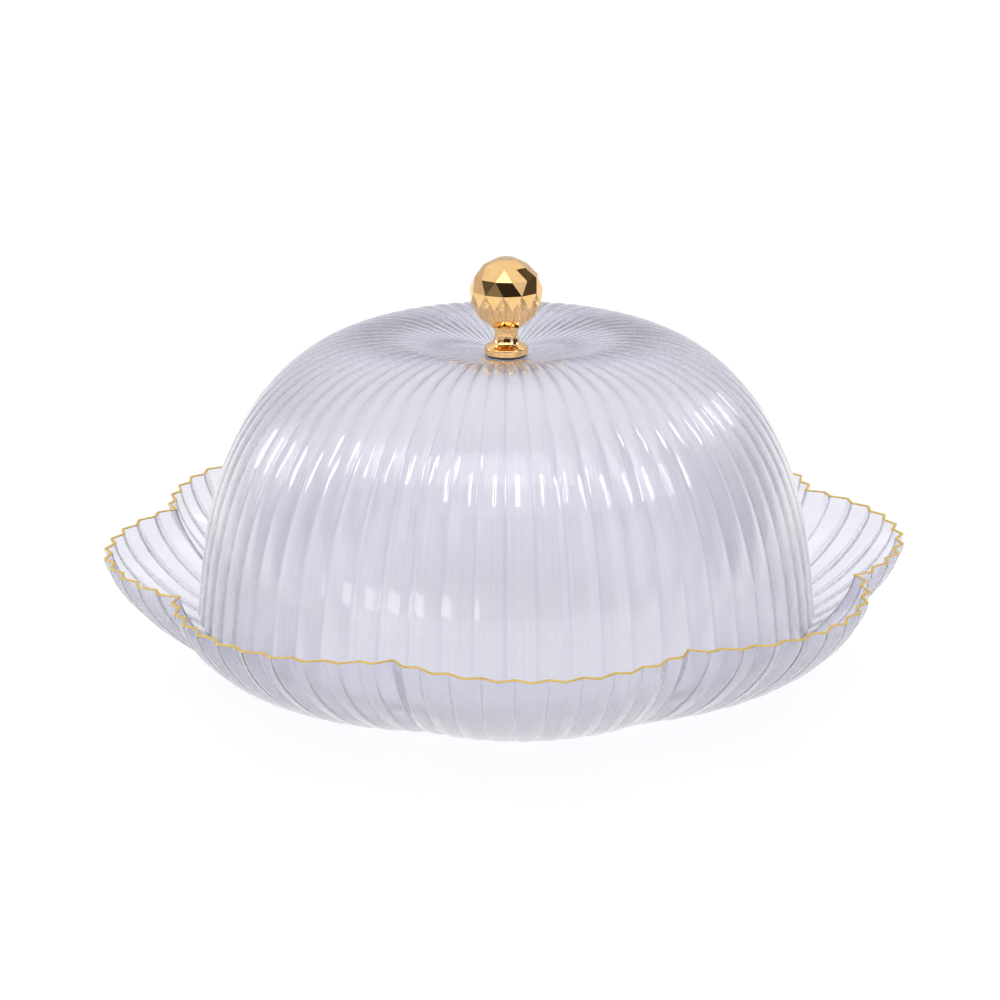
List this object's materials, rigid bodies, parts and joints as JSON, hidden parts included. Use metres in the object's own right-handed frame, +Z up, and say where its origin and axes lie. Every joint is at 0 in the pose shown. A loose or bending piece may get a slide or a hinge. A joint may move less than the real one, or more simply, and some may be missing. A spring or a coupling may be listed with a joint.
{
  "type": "cheese dome",
  "caption": "Fluted clear dome with a faceted gold knob, standing in a pleated flower-shaped tray with a gold zigzag edge; it covers cheese or cake and lifts off.",
  "frame": {"origin": "on the table, under the middle of the tray's flat foot", "axes": "+Z up through the knob; the middles of four tray lobes lie on +X, -X, +Y and -Y; the front is -Y"},
  "size_m": [0.3202, 0.3202, 0.1639],
  "materials": {
    "clear_plastic": "clear moulded acrylic, faint lavender grey, glossy",
    "gold_plating": "mirror gold plating on moulded plastic",
    "soft_clear": "clear soft plastic",
    "plated_steel": "bright nickel plating",
    "brass": "turned brass"
  },
  "bodies": {
    "tray": {"tray": "clear_plastic", "tray_gold_edge": "gold_plating"},
    "lid": {"dome_cover": "clear_plastic", "knob_ball": "gold_plating", "knob_stem": "gold_plating", "knob_gasket": "soft_clear", "inner_washer": "plated_steel", "knob_screw": "plated_steel", "threaded_insert": "brass"}
  },
  "joints": [
    {"name": "lid_lift", "type": "slide", "parent": "tray", "child": "lid", "axis": [0, 0, 1], "range_m": [0, 0.12]}
  ]
}
